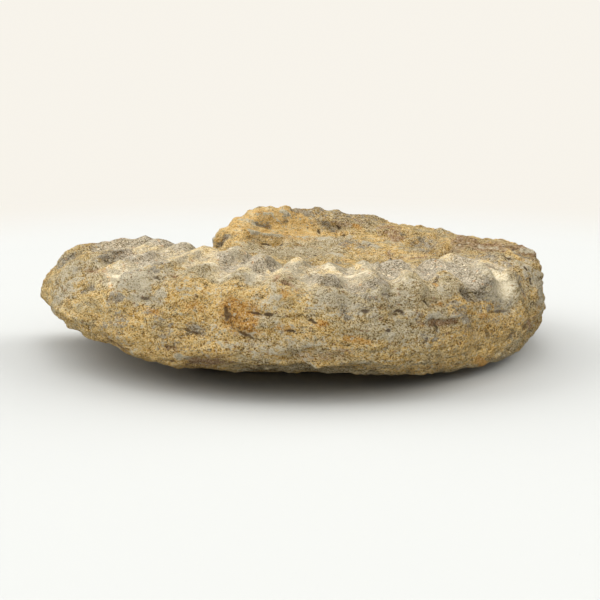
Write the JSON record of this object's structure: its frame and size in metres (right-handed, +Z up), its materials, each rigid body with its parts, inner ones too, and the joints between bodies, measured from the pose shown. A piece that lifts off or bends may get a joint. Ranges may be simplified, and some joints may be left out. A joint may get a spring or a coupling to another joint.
{
  "type": "ammonite fossil",
  "caption": "Flat-coiled, ribbed ammonite fossil in sandy limestone, lying on its side, with a broken mouth and matrix filling its middle.",
  "frame": {"origin": "middle of the stone's footprint box, on its flat rest face", "axes": "+Z up from the rest face along the coil's axis; +X away from the broken mouth, along the longest extent; +Y to the back"},
  "size_m": [0.233, 0.1982, 0.0552],
  "materials": {
    "fossil_stone": "matte"
  },
  "bodies": {
    "root": {"ammonite": "fossil_stone"}
  },
  "joints": []
}
